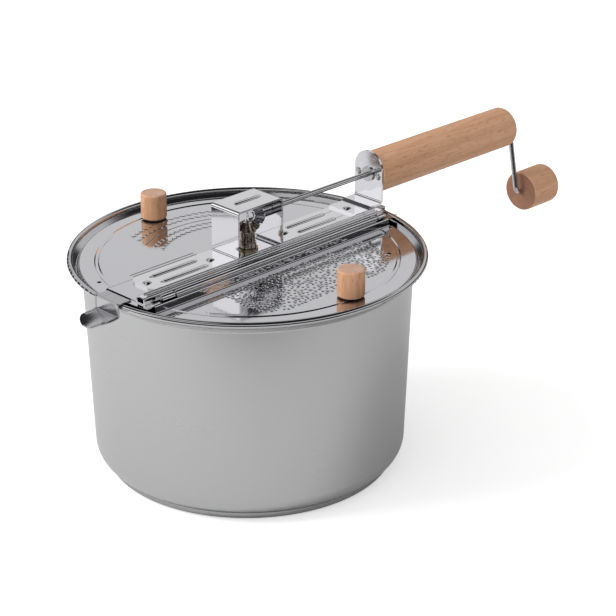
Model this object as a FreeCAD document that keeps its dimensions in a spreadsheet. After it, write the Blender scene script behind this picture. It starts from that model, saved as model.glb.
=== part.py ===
"""Stovetop popcorn popper: a steel pot, a clip-on lid with a hinged flap, and a crank that turns a
stirrer through a pair of bevel gears.

Frame: millimetres, +Z up, origin at the centre of the pot's underside. The handle and the crank
rod run along +X, the hinged flap lies on the -Y side and the fixed half of the lid on +Y.
"""
import FreeCAD, Part
import math
import os
import Sketcher

Vector = FreeCAD.Vector
Rotation = FreeCAD.Rotation
X_AXIS = Vector(1, 0, 0)
Z_AXIS = Vector(0, 0, 1)

# ------------------------------------------------------------------ driving dimensions, mm
DIMENSIONS = {
    # pot: the wall leans out from the foot to a shoulder, then a ledge carries the rolled rim
    "rim_height": 162.0,
    "rim_radius": 130.0,
    "bead_radius": 2.2,
    "ledge_width": 5.9,
    "ledge_rise": 4.7,
    "ledge_drop": 8.0,
    "shoulder_step": 2.4,
    "shoulder_rise": 3.5,
    "shoulder_bend": 2.0,
    "wall_lean": 4.9,
    "pot_sheet": 1.0,
    "corner_radius": 13.0,
    # encapsulated base: an aluminium core in a steel cap
    "base_height": 5.0,
    "cap_inset": 7.6,
    "cap_height": 5.5,
    "cap_sheet": 0.8,
    "cap_corner": 3.5,
    "core_gap": 0.2,
    # lid sheet, shared by both halves: a raised land along the hinge steps down to the panel
    "lid_gap": 3.6,
    "land_rise": 1.0,
    "land_margin": 1.5,
    "step_run": 2.5,
    "panel_drop": 4.5,
    "lid_sheet": 0.8,
    "lid_bend": 0.8,
    "seat_gap": 0.1,
    "ring_inset": 13.3,
    "ring_width": 3.4,
    "ring_depth": 0.6,
    "ring_slope": 0.8,
    "vent_radius": 1.6,
    "back_vent_inset": 8.2,
    "back_vent_angle": 161.0,
    "flap_vent_inset": 20.0,
    "flap_vent_angle": 317.0,
    "boss_inset": 22.2,
    "boss_angle": 218.0,
    "boss_length": 26.0,
    "boss_width": 12.0,
    "boss_height": 1.0,
    "boss_round": 0.8,
    # hinge between the two halves
    "hinge_offset": 27.6,
    "pin_radius": 1.5,
    "pin_fit": 0.06,
    "hinge_wall": 0.84,
    "curl_end": 0.5,
    "tube_front_inset": 28.0,
    "tube_rear_inset": 18.0,
    "knuckle_gap": 1.5,
    "front_knuckle": 11.0,
    "rear_knuckle": 7.0,
    "knuckle_tab": 0.9,
    "pin_overhang": 1.5,
    "edge_gap": 0.4,
    "flap_notch": 0.6,
    "flap_margin": 0.5,
    "flap_step_run": 0.8,
    # stiffening rail between the hinge and the gear bracket
    "rail_gap": 1.2,
    "rail_width": 8.0,
    "rail_height": 3.6,
    "rail_sheet": 0.8,
    "rail_inset": 4.5,
    # bar under the lid
    "bar_width": 25.0,
    "bar_sheet": 1.2,
    "bar_gap": 1.2,
    # rim clips
    "clip_width": 24.6,
    "clip_sheet": 0.8,
    "clip_bend": 0.4,
    "clip_tongue": 32.3,
    "clip_inset": 1.7,
    "clip_clearance": 0.3,
    "clip_margin": 1.2,
    "lever_gap": 0.2,
    "lever_drop": 9.0,
    "tab_length": 19.5,
    "tab_drop": 5.0,
    "tab_round": 9.5,
    # gear bracket: one strip bent to an arch with two feet
    "strip_width": 28.0,
    "strip_sheet": 1.5,
    "strip_bend": 1.2,
    "arch_half": 22.0,
    "arch_height": 35.5,
    "foot_front_inset": 21.0,
    "foot_rear_inset": 8.0,
    "foot_round": 9.0,
    "groove_width": 2.4,
    "groove_depth": 0.5,
    "groove_offset": 6.0,
    "groove_start": 22.0,
    "front_groove_margin": 13.0,
    "rear_groove_margin": 5.0,
    "arch_groove_length": 22.0,
    "rivet_start": 14.5,
    "rivet_front_margin": 6.0,
    "rivet_rear_margin": 3.8,
    "rivet_radius": 1.6,
    "rivet_head": 3.2,
    "rivet_crown": 1.2,
    "rivet_tail": 0.8,
    "rivet_fit": 0.05,
    # handle bracket
    "plate_lap": 5.0,
    "plate_inset": 3.5,
    "plate_sheet": 1.5,
    "plate_bend": 1.2,
    "plate_width": 28.0,
    "plate_crown": 18.0,
    "plate_round": 13.6,
    "joggle_run": 2.4,
    "joggle_rise": 2.0,
    "bush_radius": 4.0,
    "bush_flange": 5.8,
    "bush_rim": 1.5,
    "bush_tail": 4.0,
    "screw_radius": 1.4,
    "screw_head": 2.8,
    "screw_crown": 1.4,
    "screw_length": 20.0,
    "screw_offset": 10.0,
    "screw_fit": 0.05,
    # handle grip
    "grip_radius": 16.0,
    "grip_length": 155.0,
    "grip_round": 2.5,
    "grip_edge": 0.6,
    "grip_bore": 2.6,
    # crank
    "rod_rise": 23.3,
    "rod_radius": 2.0,
    "rod_fit": 0.06,
    "rod_bend": 5.0,
    "arm_gap": 8.0,
    "arm_length": 57.5,
    "arm_angle": 10.6,
    "knob_radius": 16.0,
    "knob_length": 30.0,
    "knob_round": 1.5,
    "knob_gap": 0.5,
    "well_radius": 5.5,
    "well_depth": 3.0,
    "nut_radius": 4.6,
    "nut_sheet": 1.4,
    "nut_play": 0.4,
    # bevel gears, sized at the pitch circles and cut towards their common apex
    "crank_teeth": 12,
    "stirrer_teeth": 10,
    "gear_module": 1.15,
    "addendum": 1.0,
    "dedendum": 1.3,
    "tooth_share": 0.40,
    "face_start": 0.62,
    "face_end": 1.32,
    "gear_back": 1.0,
    "crank_hub": 5.0,
    "leg_play": 0.3,
    "stirrer_hub": 5.2,
    "flutes": 10,
    "flute_radius": 0.9,
    "hub_collar": 6.2,
    "hub_collar_height": 4.0,
    # stirrer
    "shaft_radius": 2.5,
    "shaft_fit": 0.06,
    "lid_bush_wall": 1.5,
    "lid_bush_flange": 7.5,
    "lid_bush_rim": 1.2,
    "thrust_play": 0.3,
    "collar_radius": 5.5,
    "collar_height": 4.0,
    "wire_radius": 1.6,
    "sweep_gap": 0.5,
    "sweep_margin": 3.6,
    "sweep_rise": 16.0,
    "sweep_bend": 8.0,
    "hub_radius": 6.0,
    "hub_height": 12.0,
    "hub_floor": 0.6,
    "hub_web": 0.6,
    # lid knobs
    "lid_knob_radius": 9.75,
    "lid_knob_height": 19.7,
    "lid_knob_round": 1.2,
    "lid_knob_inset": 18.5,
    "washer_radius": 7.5,
    "washer_sheet": 1.0,
    "knob_screw_radius": 1.5,
    "knob_screw_head": 2.9,
    "knob_screw_crown": 1.4,
    "knob_screw_depth": 14.0,
}


# ------------------------------------------------------------------ sizes and expressions
class Size:
    """A number together with the spreadsheet expression that gives it."""

    def __init__(self, value, text=None):
        self.value = float(value)
        self.bound = text is not None
        self.text = text or "%.9g" % value

    def _join(self, other, sign, value):
        if not self.bound and not other.bound:
            return Size(value)
        return Size(value, "(%s %s %s)" % (self.text, sign, other.text))

    def __add__(self, other):
        other = as_size(other)
        if other.is_number(0):
            return self
        return other if self.is_number(0) else self._join(other, "+", self.value + other.value)

    def __sub__(self, other):
        other = as_size(other)
        if other.is_number(0):
            return self
        if self.text == other.text:
            return Size(0)
        return self._join(other, "-", self.value - other.value)

    def __mul__(self, other):
        other = as_size(other)
        if self.is_number(0) or other.is_number(0):
            return Size(0)
        if self.is_number(1):
            return other
        return self if other.is_number(1) else self._join(other, "*", self.value * other.value)

    def __truediv__(self, other):
        other = as_size(other)
        if self.is_number(0) or other.is_number(1):
            return self
        return self._join(other, "/", self.value / other.value)

    def __neg__(self):
        return self * -1

    __radd__ = __add__
    __rmul__ = __mul__

    def __rsub__(self, other):
        return as_size(other) - self

    def is_number(self, number):
        return not self.bound and self.value == number

    def root(self):
        value = math.sqrt(self.value)
        return Size(value, "sqrt(%s)" % self.text) if self.bound else Size(value)


def as_size(item):
    return item if isinstance(item, Size) else Size(item)


def sine(angle):
    return Size(math.sin(math.radians(angle.value)), "sin(%s)" % angle.text)


def cosine(angle):
    return Size(math.cos(math.radians(angle.value)), "cos(%s)" % angle.text)


class Sheet:
    """Gives each driving dimension as an attribute, bound to its cell."""

    def __init__(self, doc):
        cells = doc.addObject("Spreadsheet::Sheet", "Dims")
        for row, (name, value) in enumerate(DIMENSIONS.items(), start=1):
            cells.set("A%d" % row, str(value))
            cells.setAlias("A%d" % row, name)
            setattr(self, name, Size(value, "Dims." + name))


doc = FreeCAD.newDocument("popcorn_popper")
d = Sheet(doc)
doc.recompute()
PIECES = []

# ------------------------------------------------------------------ places worked out once
bead_centre = (d.rim_radius - d.bead_radius, d.rim_height - d.bead_radius)
ledge_radius = bead_centre[0] - d.ledge_width
ledge_height = d.rim_height - d.ledge_drop
wall_radius = ledge_radius - d.shoulder_step
foot_radius = wall_radius - d.wall_lean
cap_radius = foot_radius - d.cap_inset
floor_height = d.base_height + d.pot_sheet

lid_radius = d.rim_radius - d.bead_radius * 2 - d.lid_gap
land_top = d.rim_height + d.land_rise
land_under = land_top - d.lid_sheet
panel_top = d.rim_height - d.panel_drop
ring_radius = lid_radius - d.ring_inset
ring_inner = ring_radius - d.ring_width / 2
bar_end = ring_inner - d.bar_gap
bar_under = land_under - d.bar_sheet
tongue_under = bar_under - d.clip_sheet
clip_leg = lid_radius - d.clip_inset
lid_knob_reach = lid_radius - d.lid_knob_inset

strip_top = land_top + d.strip_sheet
arch_inside = d.arch_half - d.strip_sheet
foot_front = lid_radius - d.foot_front_inset
foot_rear = lid_radius - d.foot_rear_inset
rivet_inner = d.arch_half + d.rivet_start
rivet_front = foot_front - d.rivet_front_margin
rivet_rear = bar_end - d.rivet_rear_margin
rivet_places = [-rivet_front, -rivet_inner, rivet_inner, rivet_rear]
plate_start = rivet_rear - d.plate_lap
plate_face = d.rim_radius - d.plate_inset

pin_bore = d.pin_radius + d.pin_fit
tube_radius = pin_bore + d.hinge_wall
pin_height = land_under + tube_radius
tube_front = lid_radius - d.tube_front_inset
tube_rear = lid_radius - d.tube_rear_inset
front_pin_end = -(tube_front + d.knuckle_gap + d.front_knuckle + d.pin_overhang)
rear_pin_end = tube_rear + d.knuckle_gap + d.rear_knuckle + d.pin_overhang
rail_back = -(d.strip_width / 2 + d.rail_gap)
rail_front = rail_back - d.rail_width

rod_height = strip_top + d.rod_rise
grip_end = plate_face + d.grip_length
arm_place = grip_end + d.arm_gap
knob_start = arm_place + d.rod_bend + d.knob_gap
knob_end = knob_start + d.knob_length
crank_gear_start = d.gear_module * d.stirrer_teeth / 2 * d.face_start
lid_bush_radius = d.shaft_radius + d.shaft_fit + d.lid_bush_wall
gear_seat = land_top + d.lid_bush_rim + d.thrust_play
hub_low = floor_height + d.sweep_gap
sweep_height = hub_low + d.hub_floor + d.wire_radius
sweep_reach = foot_radius - d.corner_radius - d.sweep_margin
shaft_foot = sweep_height + d.wire_radius + d.hub_web


# ------------------------------------------------------------------ document helpers
def bind(item, path, size):
    """Ties one property of an object to the spreadsheet."""
    item.setExpression(path, as_size(size).text)


def move_to(item, x=0, y=0, z=0):
    bind(item, "Placement.Base.x", x)
    bind(item, "Placement.Base.y", y)
    bind(item, "Placement.Base.z", z)


def finish(item, label):
    """Names an object as one of the sub-parts that are written out."""
    item.Label = label
    PIECES.append(item)
    return item


def new_body(label):
    return finish(doc.addObject("PartDesign::Body", label), label)


def draw(body, plane, loops=(), circles=(), height=0):
    """Sketch on an origin plane: closed loops of straight lines, and circles."""
    sketch = body.newObject("Sketcher::SketchObject", "sketch")
    origin_planes = {item.Role: item for item in body.Origin.OriginFeatures}
    sketch.AttachmentSupport = [(origin_planes[plane], "")]
    sketch.MapMode = "FlatFace"
    bind(sketch, "AttachmentOffset.Base.z", height)
    for points in loops:
        draw_chain(sketch, points, closed=True)
    for (x, y), radius in circles:
        circle = Part.Circle(Vector(as_size(x).value, as_size(y).value, 0), Z_AXIS, as_size(radius).value)
        index = sketch.addGeometry(circle)
        pin_point(sketch, index, 3, x, y)
        constrain(sketch, radius, "Radius", index)
    return sketch


def constrain(sketch, size, kind, *where):
    row = sketch.addConstraint(Sketcher.Constraint(kind, *where, as_size(size).value))
    if as_size(size).bound:
        sketch.setExpression("Constraints[%d]" % row, size.text)


def pin_point(sketch, index, end, x, y):
    """Fixes a point by its two distances from the sketch's origin."""
    for kind, size, axis in (("DistanceX", as_size(x), -2), ("DistanceY", as_size(y), -1)):
        if size.is_number(0):
            sketch.addConstraint(Sketcher.Constraint("PointOnObject", index, end, axis))
        else:
            constrain(sketch, size, kind, index, end)


def draw_chain(sketch, points, closed=False):
    """Straight lines from point to point."""
    ends = list(zip(points, points[1:])) + ([(points[-1], points[0])] if closed else [])
    first = sketch.GeometryCount
    for start, end in ends:
        corners = [Vector(as_size(x).value, as_size(y).value, 0) for x, y in (start, end)]
        sketch.addGeometry(Part.LineSegment(*corners))
    for offset in range(len(ends)):
        index = first + offset
        pin_point(sketch, index, 1, *points[offset])
        following = first + (offset + 1) % len(ends)
        if closed or offset + 1 < len(ends):
            sketch.addConstraint(Sketcher.Constraint("Coincident", index, 2, following, 1))
    if not closed:
        pin_point(sketch, first + len(ends) - 1, 2, *points[-1])


def rectangle(left, right, low, high):
    return [(left, low), (right, low), (right, high), (left, high)]


def add_feature(body, kind, sketch):
    feature = body.newObject("PartDesign::" + kind, kind.lower())
    feature.Profile = (sketch, [""])
    return feature


def pad(body, sketch, length, symmetric=False):
    feature = add_feature(body, "Pad", sketch)
    feature.SideType = "Symmetric" if symmetric else "One side"
    bind(feature, "Length", length)
    return feature


def pocket_through(body, sketch):
    feature = add_feature(body, "Pocket", sketch)
    feature.Type = "ThroughAll"
    feature.Midplane = True
    return feature


def pocket(body, sketch, depth):
    feature = add_feature(body, "Pocket", sketch)
    bind(feature, "Length", depth)
    return feature


def turn(body, sketch, axis="V_Axis"):
    """Revolves a sketch all the way round one of its own axes."""
    feature = add_feature(body, "Revolution", sketch)
    feature.ReferenceAxis = (sketch, [axis])
    feature.Angle = 360
    return feature


# How an edge shows when the piece is seen along the sketch's normal, or as a half section.
VIEWS = {
    "XY_Plane": lambda point: (point.x, point.y),
    "XZ_Plane": lambda point: (point.x, point.z),
    "YZ_Plane": lambda point: (point.y, point.z),
    "round_Z": lambda point: (math.hypot(point.x, point.y), point.z),
    "round_X": lambda point: (point.x, math.hypot(point.y, point.z)),
}


def round_edges(body, view, spots, radius, reach=1e-4):
    """Fillets the edges that a view shows as single spots, or as dashes no longer than reach."""
    doc.recompute()
    tip = body.Tip
    wanted = [(as_size(u).value, as_size(v).value) for u, v in spots]
    names = []
    for number, edge in enumerate(tip.Shape.Edges, start=1):
        middle = (edge.FirstParameter + edge.LastParameter) / 2
        ends = [VIEWS[view](edge.valueAt(at)) for at in (edge.FirstParameter, middle)]
        if any(all(math.dist(end, spot) < reach for end in ends) for spot in wanted):
            names.append("Edge%d" % number)
    if not names:
        raise ValueError("%s has no edge to round in view %s" % (body.Label, view))
    feature = body.newObject("PartDesign::Fillet", "fillet")
    feature.Base = (tip, names)
    bind(feature, "Radius", radius)


# ------------------------------------------------------------------ bent sheet
def normals_of(path):
    """Unit vectors that point to the left of each straight stretch of a path."""
    normals = []
    for (x0, y0), (x1, y1) in zip(path, path[1:]):
        run = as_size(x1) - as_size(x0)
        rise = as_size(y1) - as_size(y0)
        if rise.is_number(0):
            normals.append((Size(0), Size(math.copysign(1, run.value))))
        elif run.is_number(0):
            normals.append((Size(-math.copysign(1, rise.value)), Size(0)))
        else:
            length = (run * run + rise * rise).root()
            normals.append((-rise / length, run / length))
    return normals


def far_side(path, thickness):
    """The path moved to its left by the thickness of the sheet."""
    normals = normals_of(path)
    moved = []
    for index, (x, y) in enumerate(path):
        before = normals[max(index - 1, 0)]
        after = normals[min(index, len(normals) - 1)]
        spread = 1 + before[0] * after[0] + before[1] * after[1]
        moved.append((x + thickness * (before[0] + after[0]) / spread,
                      y + thickness * (before[1] + after[1]) / spread))
    return moved


def sheet_outline(path, thickness):
    """Closed outline of a sheet that follows the path and lies on its left."""
    return path + far_side(path, thickness)[::-1]


def bend(body, view, path, thickness, corners, radius):
    """Rounds the corners of a folded sheet, the radius being that of the inside of the fold."""
    far = far_side(path, thickness)
    inside, outside = [], []
    for corner in corners:
        (ax, ay), (bx, by), (cx, cy) = [[as_size(value).value for value in point]
                                        for point in path[corner - 1:corner + 2]]
        turns_left = (bx - ax) * (cy - by) > (by - ay) * (cx - bx)
        inside.append(far[corner] if turns_left else path[corner])
        outside.append(path[corner] if turns_left else far[corner])
    round_edges(body, view, outside, radius + thickness)
    round_edges(body, view, inside, radius)


# ------------------------------------------------------------------ plain solids
def cylinder(radius, start, end, axis="z", centre=(0, 0)):
    """Cylinder along X or Z between two heights on that axis; centre is (y, z) or (x, y)."""
    item = doc.addObject("Part::Cylinder", "cylinder")
    bind(item, "Radius", radius)
    bind(item, "Height", end - start)
    if axis == "x":
        item.Placement = FreeCAD.Placement(Vector(), Rotation(Z_AXIS, X_AXIS))
        move_to(item, start, *centre)
    else:
        move_to(item, *centre, start)
    return item


def crown(radius, small, start, rise, axis="z", centre=(0, 0), downwards=False):
    """Low cone that tops off the head of a fastener."""
    item = doc.addObject("Part::Cone", "crown")
    bind(item, "Radius1", small if downwards else radius)
    bind(item, "Radius2", radius if downwards else small)
    bind(item, "Height", rise)
    if axis == "x":
        item.Placement = FreeCAD.Placement(Vector(), Rotation(Z_AXIS, X_AXIS))
        move_to(item, start, *centre)
    else:
        move_to(item, *centre, start)
    return item


def fuse(*items):
    result = doc.addObject("Part::MultiFuse", "fusion")
    result.Shapes = list(items)
    return result


def cut(base, tool):
    result = doc.addObject("Part::Cut", "cut")
    result.Base = base
    result.Tool = tool
    return result


def group(label, items):
    """Identical fasteners that share one sub-part."""
    result = doc.addObject("Part::Compound", label)
    result.Links = items
    return finish(result, label)


# ------------------------------------------------------------------ pot
def pot_body():
    path = [
        (0, d.base_height),
        (foot_radius, d.base_height),
        (wall_radius, ledge_height - d.shoulder_rise),
        (ledge_radius, ledge_height),
        (bead_centre[0], ledge_height + d.ledge_rise),
    ]
    body = new_body("pot_body")
    turn(body, draw(body, "XZ_Plane", [sheet_outline(path, d.pot_sheet)]))
    bend(body, "round_Z", path, d.pot_sheet, [1], d.corner_radius - d.pot_sheet)
    bend(body, "round_Z", path, d.pot_sheet, [2, 3], d.shoulder_bend)
    turn(body, draw(body, "XZ_Plane", circles=[(bead_centre, d.bead_radius)]))


def heat_spreader():
    radius = cap_radius - d.cap_sheet - d.core_gap
    body = new_body("heat_spreader")
    sketch = draw(body, "XY_Plane", circles=[((0, 0), radius)], height=d.cap_sheet)
    pad(body, sketch, d.base_height - d.cap_sheet)
    round_edges(body, "round_Z", [(radius, d.cap_sheet)], d.cap_corner - d.cap_sheet)


def base_cap():
    path = [(0, 0), (cap_radius, 0), (cap_radius, d.cap_height)]
    body = new_body("base_cap")
    turn(body, draw(body, "XZ_Plane", [sheet_outline(path, d.cap_sheet)]))
    bend(body, "round_Z", path, d.cap_sheet, [1], d.cap_corner - d.cap_sheet)


# ------------------------------------------------------------------ lid sheets
def round_lid(label):
    """Whole round panel with its pressed ring and a turned-down edge on the pot's ledge."""
    slope = d.ledge_rise / d.ledge_width
    ledge_top = ledge_height + d.pot_sheet * (1 + slope * slope).root()
    seat = ledge_top + (lid_radius - ledge_radius) * slope + d.seat_gap
    ring_outer = ring_radius + d.ring_width / 2
    ring_floor = panel_top - d.ring_depth
    path = [
        (lid_radius, seat),
        (lid_radius, panel_top),
        (ring_outer, panel_top),
        (ring_outer - d.ring_slope, ring_floor),
        (ring_inner + d.ring_slope, ring_floor),
        (ring_inner, panel_top),
        (0, panel_top),
    ]
    body = new_body(label)
    turn(body, draw(body, "XZ_Plane", [sheet_outline(path, d.lid_sheet)]))
    bend(body, "round_Z", path, d.lid_sheet, [1], d.lid_bend)
    return body


def add_land(body, path, reach):
    """Raised land of a lid half, from one side of the lid to the other."""
    profile = draw(body, "YZ_Plane", [sheet_outline(path, d.lid_sheet)])
    pad(body, profile, reach * 2, symmetric=True)
    bend(body, "YZ_Plane", path, d.lid_sheet, [1, 2], d.lid_bend)


def polar(reach, angle):
    return (reach * cosine(angle), reach * sine(angle))


def knob_hole(side):
    return ((0, side * lid_knob_reach), d.knob_screw_radius + d.screw_fit)


def rivet_holes(places):
    return [((place, 0), d.rivet_radius + d.rivet_fit) for place in places]


def fixed_lid():
    body = round_lid("fixed_lid")
    edge = tube_radius + d.edge_gap - d.hinge_offset
    crest = d.strip_width / 2 + d.land_margin
    foot = crest + d.step_run
    panel_edge = foot + d.land_margin
    land = [(panel_edge, panel_top), (foot, panel_top), (crest, land_top), (edge, land_top)]
    away = rectangle(-d.rim_radius, d.rim_radius, -d.rim_radius, panel_edge)
    pocket_through(body, draw(body, "XY_Plane", [away]))
    add_land(body, land, clip_leg - d.clip_sheet - d.clip_margin)
    holes = rivet_holes(rivet_places) + [
        ((0, 0), lid_bush_radius),
        knob_hole(1),
        (polar(lid_radius - d.back_vent_inset, d.back_vent_angle), d.vent_radius),
    ]
    pocket_through(body, draw(body, "XY_Plane", circles=holes))


def lid_flap():
    """The hinged half; its straight edge is rolled into the tube that turns on the pin."""
    body = round_lid("lid_flap")
    centre = (-d.hinge_offset, pin_height)
    notch = -(d.hinge_offset + tube_radius + d.flap_notch)
    crest = notch - d.flap_margin
    foot = crest - d.flap_step_run
    panel_edge = foot - d.land_margin
    land = [(-d.hinge_offset, land_top), (crest, land_top), (foot, panel_top), (panel_edge, panel_top)]
    away = rectangle(-d.rim_radius, d.rim_radius, panel_edge, d.rim_radius)
    pocket_through(body, draw(body, "XY_Plane", [away]))
    flat_radius = lid_radius - d.lid_sheet * 2 - d.lid_bend
    add_land(body, land, (flat_radius * flat_radius - panel_edge * panel_edge).root())
    front_notch = rectangle(front_pin_end, d.curl_end - tube_front, notch, 0)
    rear_notch = rectangle(tube_rear - d.curl_end, d.rim_radius, notch, 0)
    pocket_through(body, draw(body, "XY_Plane", [front_notch, rear_notch]))
    rings = [(centre, tube_radius), (centre, pin_bore)]
    pad(body, draw(body, "YZ_Plane", circles=rings, height=-tube_front), tube_front + tube_rear)
    holes = [knob_hole(-1), (polar(lid_radius - d.flap_vent_inset, d.flap_vent_angle), d.vent_radius)]
    pocket_through(body, draw(body, "XY_Plane", circles=holes))
    pressed_boss(body)


def pressed_boss(body):
    """Long boss across the lid's radius, with rounded ends and a rounded top edge."""
    along = (-sine(d.boss_angle), cosine(d.boss_angle))
    out = (cosine(d.boss_angle), sine(d.boss_angle))
    corners = []
    for side, end in ((-1, -1), (-1, 1), (1, 1), (1, -1)):
        reach = lid_radius - d.boss_inset + d.boss_width / 2 * side
        length = d.boss_length / 2 * end
        corners.append((out[0] * reach + along[0] * length, out[1] * reach + along[1] * length))
    pad(body, draw(body, "XY_Plane", [corners], height=panel_top), d.boss_height)
    round_edges(body, "XY_Plane", corners, d.boss_width / 2 - d.boss_round)


# ------------------------------------------------------------------ hinge
def hinge_rail():
    path = [
        (rail_back, land_top),
        (rail_back, land_top + d.rail_height),
        (rail_front, land_top + d.rail_height),
        (rail_front, land_top),
    ]
    body = new_body("hinge_rail")
    profile = draw(body, "YZ_Plane", [sheet_outline(path, d.rail_sheet)])
    pad(body, profile, (lid_radius - d.rail_inset) * 2, symmetric=True)
    bend(body, "YZ_Plane", path, d.rail_sheet, [1, 2], d.rail_sheet / 2)


def hinge_pin():
    centre = (-d.hinge_offset, pin_height)
    finish(cylinder(d.pin_radius, front_pin_end, rear_pin_end, "x", centre), "hinge_pin")


def hinge_knuckles():
    """Fixed eyes at both ends of the pin, each with a tab that lies on the lid beside the rail."""
    front = -(tube_front + d.knuckle_gap + d.front_knuckle)
    rear = tube_rear + d.knuckle_gap
    centre = (-d.hinge_offset, pin_height)
    for name, start, length in (("front", front, d.front_knuckle), ("rear", rear, d.rear_knuckle)):
        end = start + length
        tab = doc.addObject("Part::Box", "tab")
        bind(tab, "Length", length)
        bind(tab, "Width", rail_front + d.hinge_offset - pin_bore)
        bind(tab, "Height", d.knuckle_tab)
        move_to(tab, start, pin_bore - d.hinge_offset, land_top)
        eye = fuse(cylinder(tube_radius, start, end, "x", centre), tab)
        finish(cut(eye, cylinder(pin_bore, start, end, "x", centre)), "hinge_knuckle_" + name)


# ------------------------------------------------------------------ bar and rim clips
def under_bar():
    body = new_body("under_bar")
    half = d.bar_width / 2
    strip = rectangle(-bar_end, bar_end, -half, half)
    holes = rivet_holes(rivet_places) + [((0, 0), lid_bush_radius)]
    pad(body, draw(body, "XY_Plane", [strip], holes, height=bar_under), d.bar_sheet)


def rim_clips():
    """Each clip is a saddle that hooks over the rim, and a thumb lever that hangs outside it."""
    over = d.rim_height + d.clip_clearance
    lever_face = d.rim_radius + d.clip_clearance
    tab_reach = lever_face + d.lever_gap + d.tab_length
    saddle = [
        (clip_leg - d.clip_tongue, tongue_under),
        (clip_leg, tongue_under),
        (clip_leg, over),
        (lever_face, over),
    ]
    lever = [
        (lever_face + d.lever_gap, over + d.clip_sheet),
        (lever_face + d.lever_gap, d.rim_height - d.lever_drop),
        (tab_reach, d.rim_height - d.lever_drop - d.tab_drop),
    ]
    for name, angle, rivet in (("front", 180, rivet_front), ("rear", 0, rivet_rear)):
        body = new_body(name + "_clip_saddle")
        body.Placement = FreeCAD.Placement(Vector(), Rotation(Z_AXIS, angle))
        profile = draw(body, "XZ_Plane", [sheet_outline(saddle, d.clip_sheet)])
        pad(body, profile, d.clip_width, symmetric=True)
        bend(body, "XZ_Plane", saddle, d.clip_sheet, [1, 2], d.clip_bend)
        pocket_through(body, draw(body, "XY_Plane", circles=rivet_holes([rivet])))
        body = new_body(name + "_clip_lever")
        body.Placement = FreeCAD.Placement(Vector(), Rotation(Z_AXIS, angle))
        profile = draw(body, "XZ_Plane", [sheet_outline(lever, d.clip_sheet)])
        pad(body, profile, d.clip_width, symmetric=True)
        bend(body, "XZ_Plane", lever, d.clip_sheet, [1], d.clip_bend)
        tab_corners = [(tab_reach, side * d.clip_width / 2) for side in (-1, 1)]
        round_edges(body, "XY_Plane", tab_corners, d.tab_round, reach=d.clip_sheet.value)


# ------------------------------------------------------------------ gear bracket
def gear_bracket():
    arch_under = strip_top + d.arch_height - d.strip_sheet
    path = [
        (-foot_front, land_top),
        (-arch_inside, land_top),
        (-arch_inside, arch_under),
        (arch_inside, arch_under),
        (arch_inside, land_top),
        (foot_rear, land_top),
    ]
    body = new_body("gear_bracket")
    profile = draw(body, "XZ_Plane", [sheet_outline(path, d.strip_sheet)])
    pad(body, profile, d.strip_width, symmetric=True)
    bend(body, "XZ_Plane", path, d.strip_sheet, [1, 2, 3, 4], d.strip_bend)
    half = d.strip_width / 2
    ends = [(end, side * half) for end in (-foot_front, foot_rear) for side in (-1, 1)]
    round_edges(body, "XY_Plane", ends, d.foot_round)
    pocket_through(body, draw(body, "XY_Plane", circles=rivet_holes(rivet_places)))
    pressed_grooves(body)
    rod_hole = draw(body, "YZ_Plane", circles=[((0, rod_height), d.rod_radius + d.rod_fit)])
    feature = add_feature(body, "Pocket", rod_hole)
    feature.Reversed = True
    bind(feature, "Length", d.arch_half * 2)


def pressed_grooves(body):
    """Stiffening grooves: two along each foot and one across the top of the arch."""
    half = d.groove_width / 2
    start = d.arch_half + d.groove_start
    loops = []
    for side in (-1, 1):
        low = side * d.groove_offset - half
        high = side * d.groove_offset + half
        loops.append(rectangle(d.front_groove_margin - foot_front, -start, low, high))
        loops.append(rectangle(start, plate_start - d.rear_groove_margin, low, high))
    pocket(body, draw(body, "XY_Plane", loops, height=strip_top), d.groove_depth)
    along = d.arch_groove_length / 2
    top = strip_top + d.arch_height
    pocket(body, draw(body, "XY_Plane", [rectangle(-along, along, -half, half)], height=top), d.groove_depth)


def bracket_rivets():
    rivets = []
    stacks = [(tongue_under, strip_top), (bar_under, strip_top), (bar_under, strip_top),
              (tongue_under, strip_top + d.plate_sheet)]
    for place, (low, high) in zip(rivet_places, stacks):
        centre = (place, 0)
        shank = cylinder(d.rivet_radius, low, high, centre=centre)
        head = crown(d.rivet_head, d.rivet_radius, high, d.rivet_crown, centre=centre)
        tail_start = low - d.rivet_tail
        tail = crown(d.rivet_head, d.rivet_radius, tail_start, d.rivet_tail, centre=centre, downwards=True)
        rivets.append(fuse(shank, head, tail))
    group("bracket_rivets", rivets)


# ------------------------------------------------------------------ handle
def handle_bracket():
    """Plate that lies on the rear foot, steps up over the rim clip and stands at the grip."""
    raised = strip_top + d.joggle_rise
    path = [
        (plate_start, strip_top),
        (foot_rear - d.joggle_run, strip_top),
        (foot_rear, raised),
        (plate_face, raised),
        (plate_face, rod_height + d.plate_crown),
    ]
    body = new_body("handle_bracket")
    profile = draw(body, "XZ_Plane", [sheet_outline(path, d.plate_sheet)])
    pad(body, profile, d.plate_width, symmetric=True)
    bend(body, "XZ_Plane", path, d.plate_sheet, [3], d.plate_bend)
    half = d.plate_width / 2
    top_corners = [(side * half, rod_height + d.plate_crown) for side in (-1, 1)]
    round_edges(body, "YZ_Plane", top_corners, d.plate_round)
    pocket_through(body, draw(body, "XY_Plane", circles=rivet_holes([rivet_rear])))
    holes = [((side * d.screw_offset, rod_height), d.screw_radius + d.screw_fit) for side in (-1, 1)]
    holes.append(((0, rod_height), d.bush_radius))
    pocket_through(body, draw(body, "YZ_Plane", circles=holes))


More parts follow.
